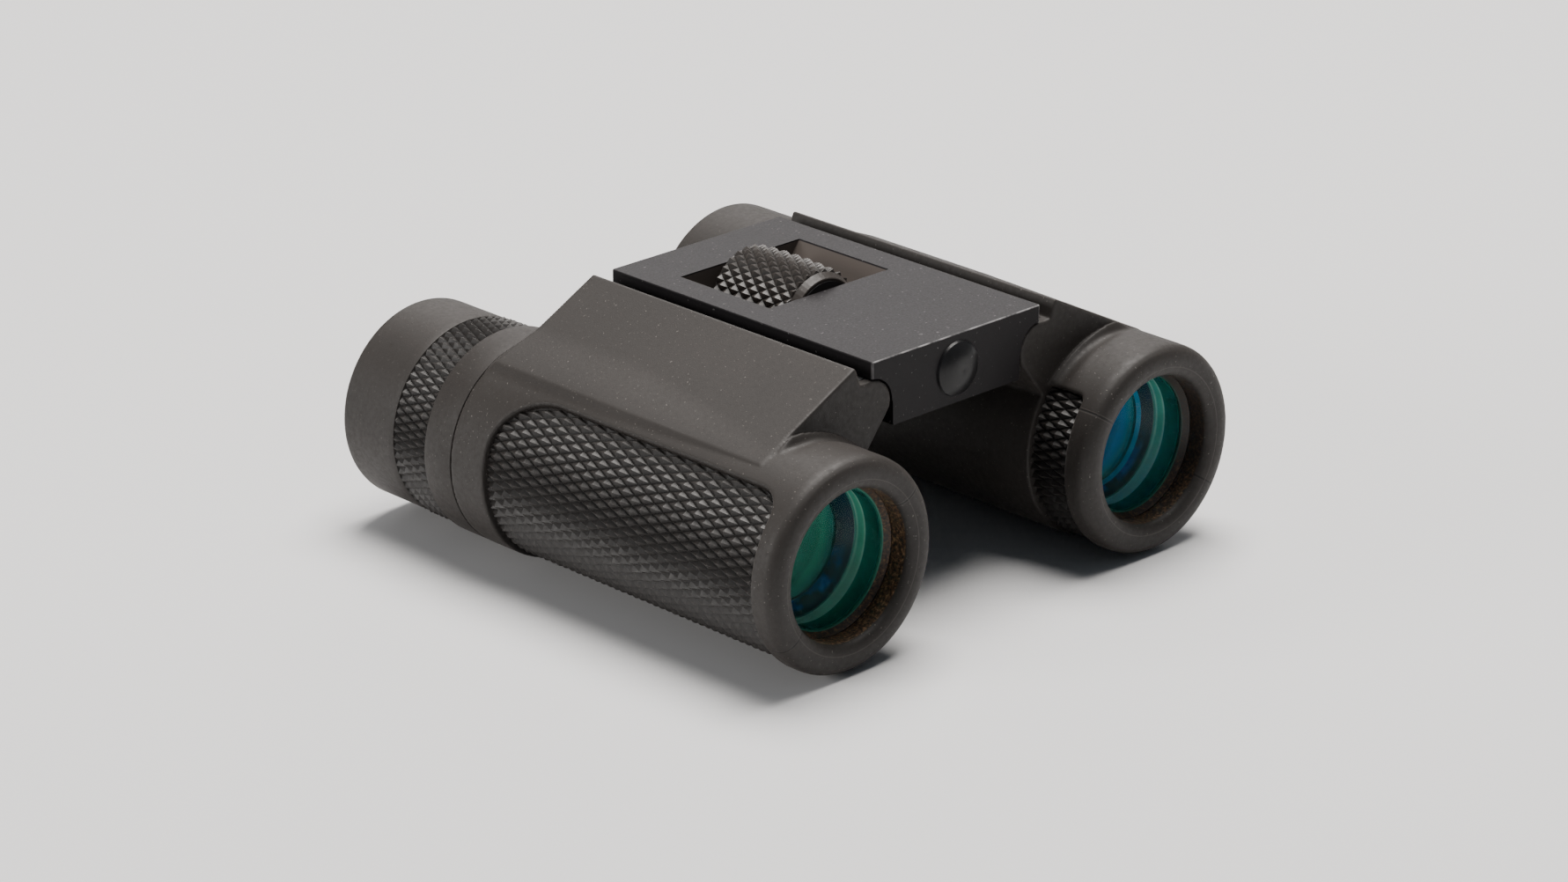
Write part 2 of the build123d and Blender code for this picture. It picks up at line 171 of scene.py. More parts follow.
# ---------------------------------------------------------------- materials
def rubber(name, lo, hi, rough=(0.52, 0.66), speck=0.35, grain=0.00016, strength=0.22, painted_relief_light=False, seams=False):
    mat, nt, b = new_material(name)
    v = coords(nt)
    big = noise(nt, v, 70.0, 2.0, 0.5)
    mid = noise(nt, v, 1300.0, 3.0, 0.6, 3.1)
    fine = noise(nt, v, 6200.0, 2.0, 0.5, 7.7)
    col = mix(nt, maprange(nt, big, 0.3, 0.7, 0.25, 0.75), lo, hi)
    col = mix(nt, maprange(nt, mid, 0.40, 0.75, 0.0, 0.22), col, tuple(c * 0.70 for c in lo))
    # pale dust caught in the rubber
    dust = maprange(nt, noise(nt, v, 2900.0, 1.0, 0.4, 11.3), 0.715, 0.78, 0.0, speck)
    col = mix(nt, dust, col, (0.26, 0.24, 0.22))
    if painted_relief_light:
        h = attribute(nt, "relief")
        # painted shade in the valleys between the knurl pyramids, and a painted highlight on their tips
        col = mix(nt, maprange(nt, h, 0.0, 0.55, 0.88, 0.0), col, tuple(c * 0.25 for c in lo))
        col = mix(nt, maprange(nt, h, 0.84, 1.0, 0.0, 0.40), col, tuple(c * 1.9 for c in hi))
        # painted light along the bottom of the grooves, where the narrow floors catch the light
        col = mix(nt, maprange(nt, h, 0.01, 0.05, 0.34, 0.0), col, (0.058, 0.050, 0.045))
    hsum = mathn(nt, "ADD", mathn(nt, "MULTIPLY", fine, 0.6), mathn(nt, "MULTIPLY", mid, 0.4))
    if seams:
        # the mould's parting lines, on the bell only, each with a painted highlight along one lip
        sep = nt.nodes.new("ShaderNodeSeparateXYZ")
        nt.links.new(v, sep.inputs["Vector"])
        x, y, z = sep.outputs
        xl = mathn(nt, "SUBTRACT", AX * MM, mathn(nt, "ABSOLUTE", x))
        zl = mathn(nt, "SUBTRACT", z, AZ * MM)
        line = None
        for deg in seams:
            ca, sa = math.cos(math.radians(deg)), math.sin(math.radians(deg))
            signed = mathn(nt, "SUBTRACT", mathn(nt, "MULTIPLY", zl, ca), mathn(nt, "MULTIPLY", xl, sa))
            across = mathn(nt, "ABSOLUTE", signed)
            seam_lip_highlight = mathn(nt, "MULTIPLY", maprange(nt, mathn(nt, "ABSOLUTE", mathn(nt, "SUBTRACT", signed, 0.00024)), 0.00003, 0.00010, 1.0, 0.0), 1.0)
            painted_seam_highlight = seam_lip_highlight if line is None else mathn(nt, "MAXIMUM", painted_seam_highlight, seam_lip_highlight)
            along = mathn(nt, "ADD", mathn(nt, "MULTIPLY", xl, ca), mathn(nt, "MULTIPLY", zl, sa))
            one = mathn(nt, "MULTIPLY", maprange(nt, across, 0.00008, 0.00017, 1.0, 0.0), maprange(nt, along, 0.0100, 0.0101, 0.0, 1.0))
            line = one if line is None else mathn(nt, "MAXIMUM", line, one)
        line = mathn(nt, "MULTIPLY", line, maprange(nt, y, -0.0358, -0.0356, 1.0, 0.0))
        front = maprange(nt, y, -0.0358, -0.0356, 1.0, 0.0)
        # painted highlight beside each parting line, on the front rim only and brighter towards the top
        painted_seam_highlight = mathn(nt, "MULTIPLY", mathn(nt, "MULTIPLY", painted_seam_highlight, front), maprange(nt, zl, -0.004, 0.002, 0.25, 1.0))
        col = mix(nt, mathn(nt, "MULTIPLY", painted_seam_highlight, 0.40), col, (0.070, 0.062, 0.057))
        col = mix(nt, mathn(nt, "MULTIPLY", line, 0.85), col, tuple(c * 0.18 for c in lo))
        hsum = mathn(nt, "SUBTRACT", hsum, mathn(nt, "MULTIPLY", line, 1.5))
        # the brown speckled bore in front of the glass
        rad = mathn(nt, "SQRT", mathn(nt, "ADD", mathn(nt, "MULTIPLY", xl, xl), mathn(nt, "MULTIPLY", zl, zl)))
        thin = mathn(nt, "MULTIPLY", maprange(nt, mathn(nt, "ABSOLUTE", mathn(nt, "SUBTRACT", rad, 0.01285)), 0.00003, 0.00009, 1.0, 0.0), maprange(nt, y, -0.0450, -0.0451, 0.0, 1.0))
        col = mix(nt, mathn(nt, "MULTIPLY", thin, 0.45), col, (0.075, 0.066, 0.060))
        bore = mathn(nt, "MULTIPLY", maprange(nt, rad, 0.01150, 0.01136, 0.0, 1.0), maprange(nt, y, -0.0451, -0.0449, 0.0, 1.0))
        sp = noise(nt, v, 2300.0, 3.0, 0.7, 6.0)
        brown = ramp(nt, sp, [(0.38, (0.006, 0.004, 0.003)), (0.54, (0.075, 0.040, 0.019)), (0.70, (0.24, 0.145, 0.075))])
        # painted shade: the upper part of the left barrel's bore is painted darker
        painted_upper_shade = mathn(nt, "MULTIPLY", maprange(nt, x, 0.0, 0.001, 0.0, 1.0), maprange(nt, zl, -0.0085, -0.0040, 0.25, 0.80))
        brown = mix(nt, painted_upper_shade, brown, (0.008, 0.006, 0.005))
        col = mix(nt, bore, col, brown)
    nt.links.new(col, b.inputs["Base Color"])
    nt.links.new(maprange(nt, mid, 0.3, 0.7, rough[0], rough[1]), b.inputs["Roughness"])
    b.inputs["Specular IOR Level"].default_value = 0.36
    b.inputs["Sheen Weight"].default_value = 0.05
    b.inputs["Sheen Roughness"].default_value = 0.45
    b.inputs["Sheen Tint"].default_value = (0.80, 0.72, 0.66, 1.0)
    bump(nt, b, hsum, strength, grain)
    return mat


ARM_LO, ARM_HI = (0.0155, 0.0128, 0.0112), (0.0225, 0.0190, 0.0168)
M_ARMOUR = rubber("armour_rubber", ARM_LO, ARM_HI, seams=(35.0, 215.0))
M_BAND = rubber("band_rubber", ARM_LO, ARM_HI, speck=0.2)
M_CUP = rubber("eyecup_rubber", (0.0185, 0.0158, 0.0142), (0.0265, 0.0228, 0.0205), speck=0.15, strength=0.16)
M_GRIP = rubber("grip_rubber", (0.0115, 0.0099, 0.0090), (0.0170, 0.0147, 0.0134), rough=(0.42, 0.56), speck=0.22, strength=0.12, painted_relief_light=True)
M_WHEEL = rubber("wheel_rubber", (0.026, 0.0215, 0.0190), (0.040, 0.034, 0.030), rough=(0.36, 0.50), speck=0.30, strength=0.12, painted_relief_light=True)


def satin_metal(name, lo, hi, metallic, rough, brushed=None, spec=0.5, window=None):
    mat, nt, b = new_material(name)
    v = coords(nt)
    big = noise(nt, v, 45.0, 3.0, 0.5)
    fine = noise(nt, v, 3500.0, 3.0, 0.6, 5.0)
    col = mix(nt, big, lo, hi)
    dots = maprange(nt, noise(nt, v, 1900.0, 1.5, 0.4, 9.0), 0.70, 0.78, 0.0, 0.20)
    col = mix(nt, dots, col, (0.42, 0.40, 0.40))
    if window:
        # the bare walls of the wheel's window
        sep = nt.nodes.new("ShaderNodeSeparateXYZ")
        nt.links.new(v, sep.inputs["Vector"])
        inside = mathn(nt, "MULTIPLY", maprange(nt, mathn(nt, "ABSOLUTE", sep.outputs[0]), 0.01205, 0.01215, 1.0, 0.0), maprange(nt, sep.outputs[2], 0.03955, 0.03965, 1.0, 0.0))
        inside = mathn(nt, "MULTIPLY", inside, maprange(nt, mathn(nt, "ABSOLUTE", sep.outputs[1]), 0.0096, 0.0097, 1.0, 0.0))
        inside = mathn(nt, "MULTIPLY", inside, maprange(nt, sep.outputs[2], 0.0340, 0.0345, 0.0, 1.0))
        col = mix(nt, inside, col, window)
        # paint worn thin along the front edges
        worn = mathn(nt, "MULTIPLY", maprange(nt, sep.outputs[1], -0.03508, -0.03502, 1.0, 0.0), maprange(nt, sep.outputs[2], 0.03958, 0.03968, 0.0, 1.0))
        side = mathn(nt, "MULTIPLY", maprange(nt, sep.outputs[1], -0.03505, -0.03485, 1.0, 0.0), maprange(nt, mathn(nt, "ABSOLUTE", sep.outputs[0]), 0.0168, 0.0169, 0.0, 1.0))
        worn = mathn(nt, "MAXIMUM", worn, mathn(nt, "MULTIPLY", side, 0.35))
        worn = mathn(nt, "MULTIPLY", worn, maprange(nt, noise(nt, v, 420.0, 3.0, 0.6, 14.0), 0.36, 0.60, 0.15, 0.85))
        col = mix(nt, worn, col, (0.34, 0.33, 0.33))
    nt.links.new(col, b.inputs["Base Color"])
    b.inputs["Specular IOR Level"].default_value = spec
    b.inputs["Metallic"].default_value = metallic
    r = maprange(nt, fine, 0.3, 0.7, rough - 0.05, rough + 0.06)
    if brushed:
        mp = nt.nodes.new("ShaderNodeMapping")
        mp.inputs["Scale"].default_value = brushed
        nt.links.new(v, mp.inputs["Vector"])
        st = noise(nt, mp.outputs["Vector"], 60.0, 4.0, 0.7)
        r = mathn(nt, "ADD", r, maprange(nt, st, 0.3, 0.7, -0.05, 0.05))
        fine = mathn(nt, "ADD", mathn(nt, "MULTIPLY", fine, 0.4), mathn(nt, "MULTIPLY", st, 0.6))
    nt.links.new(r, b.inputs["Roughness"])
    bump(nt, b, fine, 0.12, 0.00008)
    return mat


M_BRIDGE = satin_metal("bridge_paint", (0.0115, 0.0103, 0.0112), (0.0150, 0.0135, 0.0146), 0.0, 0.43, spec=0.12, window=(0.080, 0.068, 0.061))
M_CAP = satin_metal("cap_black", (0.0065, 0.0065, 0.0072), (0.0100, 0.0098, 0.0104), 0.0, 0.34, spec=0.28)
M_STEEL = satin_metal("steel", (0.42, 0.42, 0.43), (0.56, 0.56, 0.57), 1.0, 0.30, brushed=(1, 12, 1))
M_BRASS = satin_metal("brass", (0.50, 0.37, 0.16), (0.62, 0.48, 0.22), 1.0, 0.33)
M_BLACK = rubber("black_plastic", (0.012, 0.012, 0.013), (0.020, 0.020, 0.021), rough=(0.45, 0.6), speck=0.08, strength=0.12)


def retainer_material():
    mat, nt, b = new_material("retainer")
    v = coords(nt)
    n1 = noise(nt, v, 2400.0, 3.0, 0.7)
    n2 = noise(nt, v, 300.0, 2.0, 0.5, 4.0)
    col = ramp(nt, n1, [(0.38, (0.004, 0.003, 0.002)), (0.54, (0.055, 0.029, 0.014)), (0.70, (0.21, 0.125, 0.062))])
    col = mix(nt, maprange(nt, n2, 0.3, 0.7, 0.0, 0.3), col, (0.02, 0.012, 0.008))
    sep = nt.nodes.new("ShaderNodeSeparateXYZ")
    nt.links.new(v, sep.inputs["Vector"])
    xl = mathn(nt, "SUBTRACT", AX * MM, mathn(nt, "ABSOLUTE", sep.outputs[0]))
    zl = mathn(nt, "SUBTRACT", sep.outputs[2], AZ * MM)
    rad = mathn(nt, "SQRT", mathn(nt, "ADD", mathn(nt, "MULTIPLY", xl, xl), mathn(nt, "MULTIPLY", zl, zl)))
    col = mix(nt, maprange(nt, rad, 0.01064, 0.01059, 0.0, 0.8), col, (0.015, 0.20, 0.14))
    # painted shade: the upper part of the left barrel's retainer is painted darker
    painted_upper_shade = mathn(nt, "MULTIPLY", maprange(nt, sep.outputs[0], 0.0, 0.001, 0.0, 1.0), maprange(nt, zl, -0.0085, -0.0040, 0.25, 0.80))
    col = mix(nt, painted_upper_shade, col, (0.006, 0.005, 0.004))
    nt.links.new(col, b.inputs["Base Color"])
    nt.links.new(maprange(nt, n1, 0.3, 0.7, 0.4, 0.7), b.inputs["Roughness"])
    bump(nt, b, n1, 0.3, 0.0001)
    return mat


M_RETAIN = retainer_material()


def glass_material(name, tint, coat, rough=0.02, alpha=0.25):
    # thin coated glass: a tinted see-through body under a coloured reflection
    mat, nt, b = new_material(name)
    v = coords(nt)
    n = noise(nt, v, 60.0, 2.0, 0.5)
    nt.links.new(mix(nt, n, tint, tuple(min(1.0, c * 1.15) for c in tint)), b.inputs["Base Color"])
    b.inputs["Roughness"].default_value = rough
    b.inputs["IOR"].default_value = 1.5
    b.inputs["Transmission Weight"].default_value = 0.0
    b.inputs["Specular Tint"].default_value = coat + (1.0,)
    b.inputs["Specular IOR Level"].default_value = 0.42
    b.inputs["Alpha"].default_value = alpha
    return mat


M_OBJ = glass_material("coated_glass", (0.004, 0.05, 0.04), (0.3, 1.0, 0.8), alpha=0.10)


def coated_disc(name, base, tint, edge):
    # the second objective lens: mirrors back the coating's colour
    mat, nt, b = new_material(name)
    v = coords(nt)
    n = noise(nt, v, 60.0, 1.0, 0.4)
    sep = nt.nodes.new("ShaderNodeSeparateXYZ")
    nt.links.new(v, sep.inputs["Vector"])
    x, y, z = sep.outputs
    xl = mathn(nt, "SUBTRACT", AX * MM, mathn(nt, "ABSOLUTE", x))
    zl = mathn(nt, "SUBTRACT", z, AZ * MM)
    rad = mathn(nt, "SQRT", mathn(nt, "ADD", mathn(nt, "MULTIPLY", xl, xl), mathn(nt, "MULTIPLY", zl, zl)))
    col = mix(nt, n, base, tint)
    col = mix(nt, maprange(nt, rad, 0.0060, 0.0086, 0.0, 0.8), col, edge)
    nt.links.new(col, b.inputs["Base Color"])
    b.inputs["Metallic"].default_value = 0.75
    b.inputs["Roughness"].default_value = 0.22
    b.inputs["Coat Weight"].default_value = 0.25
    b.inputs["Coat Roughness"].default_value = 0.05
    return mat


M_DISC_R = coated_disc("rear_coating_green", (0.05, 0.46, 0.33), (0.07, 0.56, 0.40), (0.02, 0.20, 0.26))
M_DISC_L = coated_disc("rear_coating_blue", (0.03, 0.30, 0.85), (0.05, 0.38, 0.95), (0.02, 0.42, 0.24))


def cell_material():
    # painted coating reflections running round the objective cell: zones along the axis, with two bright painted
    # highlight lines at the edges of the band
    mat, nt, b = new_material("objective_cell_painted_reflection")
    v = coords(nt)
    sep = nt.nodes.new("ShaderNodeSeparateXYZ")
    nt.links.new(v, sep.inputs["Vector"])
    y = maprange(nt, sep.outputs[1], -0.0410, -0.0335, 0.0, 1.0)
    col = ramp(nt, y, [(0.00, (0.02, 0.26, 0.18)), (0.03, (0.010, 0.19, 0.14)), (0.30, (0.018, 0.33, 0.25)), (0.39, (0.03, 0.42, 0.32)),
                       (0.41, (0.55, 0.98, 0.80)), (0.46, (0.16, 0.70, 0.48)), (0.57, (0.12, 0.62, 0.44)), (0.62, (0.50, 0.98, 0.78)),
                       (0.66, (0.10, 0.45, 0.36)), (0.69, (0.004, 0.016, 0.050)), (1.00, (0.002, 0.006, 0.022))])
    nz = noise(nt, v, 260.0, 3.0, 0.6, 2.0)
    col = mix(nt, maprange(nt, nz, 0.35, 0.70, 0.0, 0.35), col, (0.003, 0.03, 0.04))
    # painted shade: the upper part of the cell's wall is painted nearly black; painted highlight: the lower part of
    # the band is painted bright
    zl = mathn(nt, "SUBTRACT", sep.outputs[2], AZ * MM)
    inner_wall = maprange(nt, sep.outputs[1], -0.0381, -0.0380, 1.0, 0.0)
    col = mix(nt, mathn(nt, "MULTIPLY", inner_wall, maprange(nt, zl, -0.0070, 0.0020, 0.0, 0.48)), col, (0.002, 0.006, 0.008))
    painted_band_highlight = mathn(nt, "MULTIPLY", maprange(nt, zl, -0.0100, -0.0015, 1.0, 0.0), mathn(nt, "SUBTRACT", 1.0, inner_wall))
    painted_band_highlight = mathn(nt, "MULTIPLY", painted_band_highlight, maprange(nt, sep.outputs[1], -0.0361, -0.0360, 1.0, 0.0))
    col = mix(nt, painted_band_highlight, col, (0.60, 1.0, 0.86))
    # a painted blue glint low in the cone, and a painted blue reflection round the whole cone of the left barrel
    cone = maprange(nt, y, 0.74, 0.80, 0.0, 1.0)
    painted_blue_glint = mathn(nt, "MULTIPLY", mathn(nt, "MULTIPLY", cone, maprange(nt, zl, -0.0065, -0.0020, 1.0, 0.0)), maprange(nt, nz, 0.42, 0.60, 0.0, 0.85))
    col = mix(nt, painted_blue_glint, col, (0.010, 0.10, 0.42))
    painted_cone_reflection = mathn(nt, "MULTIPLY", maprange(nt, y, 0.855, 0.865, 0.0, 0.85), maprange(nt, sep.outputs[0], 0.0, 0.001, 0.0, 1.0))
    col = mix(nt, painted_cone_reflection, col, (0.03, 0.34, 0.62))
    nt.links.new(col, b.inputs["Base Color"])
    nt.links.new(maprange(nt, nz, 0.3, 0.7, 0.22, 0.30), b.inputs["Roughness"])
    b.inputs["Specular IOR Level"].default_value = 0.25
    return mat


M_CELL = cell_material()
M_EYE = glass_material("eye_glass", (0.006, 0.022, 0.034), (0.35, 0.60, 1.0), rough=0.06, alpha=0.9)
M_GLASS = glass_material("inner_glass", (0.02, 0.10, 0.14), (0.3, 0.7, 1.0), alpha=0.5)

# ----------------------------------------------------------- mesh utilities
def mesh_object(name, verts, faces, mat, smooth=True, attr=None):
    me = bpy.data.meshes.new(name)
    me.from_pydata([tuple(v) for v in verts], [], [tuple(f) for f in faces])
    me.validate()
    me.update()
    ob = bpy.data.objects.new(name, me)
    scene.collection.objects.link(ob)
    me.materials.append(mat)
    me.polygons.foreach_set("use_smooth", [smooth] * len(me.polygons))
    if attr is not None:
        a = me.attributes.new("relief", "FLOAT", "POINT")
        a.data.foreach_set("value", np.asarray(attr, np.float32))
    return ob


def to_row(P, side):
    # local barrel coordinates (x towards the bridge, y, z above the axis), mm
    Q = np.array(P, float)
    out = np.empty_like(Q)
    out[:, 0] = (Q[:, 0] - AX) if side == "right" else (AX - Q[:, 0])
    out[:, 1] = Q[:, 1]
    out[:, 2] = Q[:, 2] + AZ
    return out * MM


def flip(faces, side):
    return [tuple(reversed(f)) for f in faces] if side == "left" else faces


def replace(ob, body, slot, *cad):
    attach(ob, body)
    if cad:
        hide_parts(*cad)
    return ob

# ------------------------------------------------- signed distance modelling
def sd_poly(X, Z, pts):
    d = np.full(X.shape, 1e9, np.float32)
    s = np.ones(X.shape, np.float32)
    n = len(pts)
    for i in range(n):
        ax, az = pts[i]
        bx, bz = pts[i - 1]
        ex, ez = bx - ax, bz - az
        wx, wz = X - ax, Z - az
        t = np.clip((wx * ex + wz * ez) / (ex * ex + ez * ez), 0, 1)
        dx, dz = wx - ex * t, wz - ez * t
        d = np.minimum(d, dx * dx + dz * dz)
        c1, c2, c3 = Z >= az, Z < bz, ex * wz > ez * wx
        flipm = (c1 & c2 & c3) | (~c1 & ~c2 & ~c3)
        s = np.where(flipm, -s, s)
    return s * np.sqrt(d)


def smin(a, b, k):
    h = np.clip(k - np.abs(a - b), 0, None) / k
    return np.minimum(a, b) - h * h * k * 0.25


def smax(a, b, k):
    return -smin(-a, -b, k)


def rbox(px, py, bx, by, r):
    # rounded box with its own radius at each corner: (+x+y, +x-y, -x+y, -x-y)
    rr = np.where(px > 0, np.where(py > 0, r[0], r[1]), np.where(py > 0, r[2], r[3]))
    qx, qy = np.abs(px) - bx + rr, np.abs(py) - by + rr
    return np.minimum(np.maximum(qx, qy), 0) + np.hypot(np.maximum(qx, 0), np.maximum(qy, 0)) - rr


def pocket2d(th, y, grow=0.0):
    # outline of the grip inlay, on the unrolled cylinder of radius 15.5
    R = 15.5
    a0, a1, a2 = (math.radians(a) for a in (PAD_A0, PAD_A1, PAD_A2))
    t = np.mod(th - math.radians(90.0), 2 * math.pi) + math.radians(90.0)
    s, sc, sh = t * R, (a0 + a1) / 2 * R, (a1 - a0) / 2 * R
    yc, yh = (PAD_Y0 + PAD_Y1) / 2, (PAD_Y1 - PAD_Y0) / 2
    d1 = rbox(s - sc, y - yc, sh, yh, (8.0, 0.1, 10.3, 4.2))
    b0 = a1 - 12.0 / R
    d2 = rbox(s - (b0 + a2) / 2 * R, y - (PAD_Y0 + STRIP_Y1) / 2, (a2 - b0) / 2 * R, (STRIP_Y1 - PAD_Y0) / 2, (0.8, 1.3, 0.1, 0.1))
    # concave fillet where the strip leaves the field
    f = 3.0
    u, v = a1 * R + f - s, STRIP_Y1 + f - y
    d3 = np.where((u > 0) & (v > 0) & (u < f + 0.2) & (v < f + 0.2), np.maximum(f - np.hypot(u, v), -9.0), 9.0)
    return np.minimum(np.minimum(d1, d2), d3) - grow


def armour_mesh():
    vs = 0.27
    lo = np.array([-17.0, -47.2, -17.0])
    hi = np.array([19.2, 22.0, 24.6])
    n = np.ceil((hi - lo) / vs).astype(int)
    x = (lo[0] + np.arange(n[0]) * vs).astype(np.float32)
    y = (lo[1] + np.arange(n[1]) * vs).astype(np.float32)
    z = (lo[2] + np.arange(n[2]) * vs).astype(np.float32)
    XX, ZZ = np.meshgrid(x, z, indexing="ij")
    RR = np.hypot(XX, ZZ)
    TH = np.arctan2(ZZ, XX)
    # outline of the bell and sleeve in (radius, y)
    prof = [(10.0, 20.88), (15.84, 20.88), (15.93, 20.78), (15.97, 20.5), (16.0, 19.8), (16.02, 12.0), (16.02, -30.0), (16.02, -44.0),
            (15.93, -44.75), (15.66, -45.35), (15.2, -45.85), (14.6, -46.15), (13.9, -46.29), (13.3, -46.28), (12.6, -46.15), (12.0, -45.9), (11.55, -45.5),
            (11.35, -45.0), (11.3, -44.4), (11.3, -42.2), (10.0, -42.2)]
    fl = [(-7.36, 14.32), (10.85, 23.6), (11.2, 23.5), (12.1, 20.9)]
    for i in range(13):
        a = math.radians(105 - i * (105 + 38) / 12)
        fl.append((HX + 3.85 * math.cos(a), HZ + 3.85 * math.sin(a)))
    fl += [(13.1, 9.3), (6.0, 2.0), (-4.0, 3.0)]
    dfl2 = sd_poly(XX, ZZ, fl)
    dh = np.hypot(XX - HX, ZZ - HZ)
    ha = math.atan2(HZ, HX)
    U = XX * math.cos(ha) + ZZ * math.sin(ha)
    V = -XX * math.sin(ha) + ZZ * math.cos(ha)
    dslot2 = np.maximum(np.abs(V) - 1.5, np.maximum(9.0 - U, U - 20.2))
    # the ring bead behind the bell shows on the upper and inner side only
    top = np.clip((math.radians(92) - np.abs(TH - math.radians(14))) / math.radians(16), 0, 1)
    top = top * top * (3 - 2 * top)
    ridge = np.interp(np.degrees(TH), [-78, -60, 57, 67, 77, 83, 90, 97, 107], [0, 0.42, 0.44, 0.58, 0.74, 0.88, 1.15, 1.15, 0]).astype(np.float32)
    arr = np.empty((n[0], n[1], n[2]), np.float32)
    r1 = np.linspace(0, 30, 3001, dtype=np.float32)
    for j, yy in enumerate(y):
        d1 = sd_poly(r1, np.full_like(r1, yy), prof)
        drev = np.interp(RR, r1, d1).astype(np.float32)
        valley = 0.24 * math.exp(-((yy + 37.0) / 0.85) ** 2)
        bead = math.exp(-((yy + 35.5) / (0.55 if yy < -35.5 else 0.28)) ** 2)
        drev = drev + top * valley - ridge * bead
        dfl = smax(dfl2, np.float32(abs(yy - (FL_Y0 + FL_Y1) / 2) - (FL_Y1 - FL_Y0) / 2), 0.35)
        d = smin(drev, dfl, 0.35 + 2.0 * min(1.0, max(0.0, (yy + 34.0) / 30.0)))
        if yy > -34.5:
            d = np.maximum(d, -np.maximum(dh - 4.05, -33.6 - yy))
        if -26.5 < yy < -16.0:
            d = np.maximum(d, -np.maximum(dslot2, abs(yy + 21.1) - 4.0))
        pk = pocket2d(TH, yy)
        d = smax(d, -np.maximum(pk, 14.85 - RR), 0.42)
        inner = np.minimum(np.maximum(RR - 14.3, -42.2 - yy), np.maximum(RR - 11.3, -np.inf))
        d = np.maximum(d, -inner)
        arr[:, j, :] = d
    arr = np.clip(arr, -3 * vs, 3 * vs)
    g = vdb.FloatGrid(3 * vs)
    g.copyFromArray(arr)
    g.gridClass = vdb.GridClass.LEVEL_SET
    pts, tris, quads = g.convertToPolygons(isovalue=0.0, adaptivity=0.0)
    P = np.array(pts, float) * vs + lo
    F = [tuple(int(i) for i in q) for q in quads] + [tuple(int(i) for i in t) for t in tris]
    return P, F


AP, AF = armour_mesh()
print("armour", len(AP), len(AF))


def armour(side):
    P = to_row(AP, side)
    ob = mesh_object(side + "_armour_shell", P, flip(AF, side), M_ARMOUR)
    bm = bmesh.new()
    bm.from_mesh(ob.data)
    bmesh.ops.recalc_face_normals(bm, faces=bm.faces)
    bm.to_mesh(ob.data)
    bm.free()
    return replace(ob, side + "_barrel", "armour_rubber", side + "_barrel_armour")


for side in ("right", "left"):
    armour(side)

# ------------------------------------------------------------ knurled pieces
def lattice_cells(s0, s1, y0, y1, ds, dy, phase=0.0, plateau=0.10):
    """Pyramid cells whose diagonals are ds (along s) and dy (along y).
    Returns verts (s, y, h) with h 0 in the valleys and 1 on the tips, and faces."""
    verts, faces = [], []
    key = {}

    def vert(s, y, h):
        k = (round(s, 5), round(y, 5), h)
        if k not in key:
            key[k] = len(verts)
            verts.append((s, y, h))
        return key[k]
    i0, i1 = int(math.floor((s0 - phase) / (ds / 2))) - 1, int(math.ceil((s1 - phase) / (ds / 2))) + 1
    j0, j1 = int(math.floor(y0 / (dy / 2))) - 1, int(math.ceil(y1 / (dy / 2))) + 1
    for i in range(i0, i1 + 1):
        for j in range(j0, j1 + 1):
            if (i + j) % 2:
                continue
            cs, cy = phase + i * ds / 2, j * dy / 2
            co = [vert(cs + ds / 2, cy, 0), vert(cs, cy + dy / 2, 0), vert(cs - ds / 2, cy, 0), vert(cs, cy - dy / 2, 0)]
            q = plateau
            ti = [vert(cs + ds / 2 * q, cy, 1), vert(cs, cy + dy / 2 * q, 1), vert(cs - ds / 2 * q, cy, 1), vert(cs, cy - dy / 2 * q, 1)]
            for k in range(4):
                faces.append((co[k], co[(k + 1) % 4], ti[(k + 1) % 4], ti[k]))
            faces.append(tuple(ti))
    return verts, faces


def clip_outline(verts, faces, outline):
    # keep what lies inside a convex outline of (s, y), counter-clockwise
    bm = bmesh.new()
    vv = [bm.verts.new(v) for v in verts]
    for f in faces:
        bm.faces.new([vv[i] for i in f])
    n = len(outline)
    for i in range(n):
        a, b = outline[i], outline[(i + 1) % n]
        ex, ey = b[0] - a[0], b[1] - a[1]
        ln = math.hypot(ex, ey)
        if ln < 1e-6:
            continue
        bmesh.ops.bisect_plane(bm, geom=bm.verts[:] + bm.edges[:] + bm.faces[:], dist=1e-5,
                               plane_co=(a[0], a[1], 0), plane_no=(ey / ln, -ex / ln, 0), clear_outer=True)
    return bm


def round_rect(s0, s1, y0, y1, r_pp, r_pm, r_mp, r_mm, n=9):
    # counter-clockwise outline, radii at (+s+y), (+s-y), (-s+y), (-s-y)
    pts = []
    for cx, cy, r, a0 in ((s1 - r_pm, y0 + r_pm, r_pm, -90), (s1 - r_pp, y1 - r_pp, r_pp, 0),
                          (s0 + r_mp, y1 - r_mp, r_mp, 90), (s0 + r_mm, y0 + r_mm, r_mm, 180)):
        for k in range(n + 1):
            a = math.radians(a0 + 90 * k / n)
            pts.append((cx + r * math.cos(a), cy + r * math.sin(a)))
    return pts


def wrap(bm, r_of):
    # thicken the flat relief down to the base radius and roll it up
    bm.verts.ensure_lookup_table()
    layer = bm.verts.layers.float.new("relief")
    for v in bm.verts:
        v[layer] = v.co.z
    top = list(bm.faces)
    edges = [e for e in bm.edges if len(e.link_faces) == 1]
    ret = bmesh.ops.extrude_edge_only(bm, edges=edges)
    newv = [g for g in ret["geom"] if isinstance(g, bmesh.types.BMVert)]
    for v in newv:
        v.co.z = -2.0
        v[layer] = 0.0
    for v in bm.verts:
        s, y, h = v.co
        r, th = r_of(s, y, h)
        v.co = (r * math.cos(th), y, r * math.sin(th))
    return bm


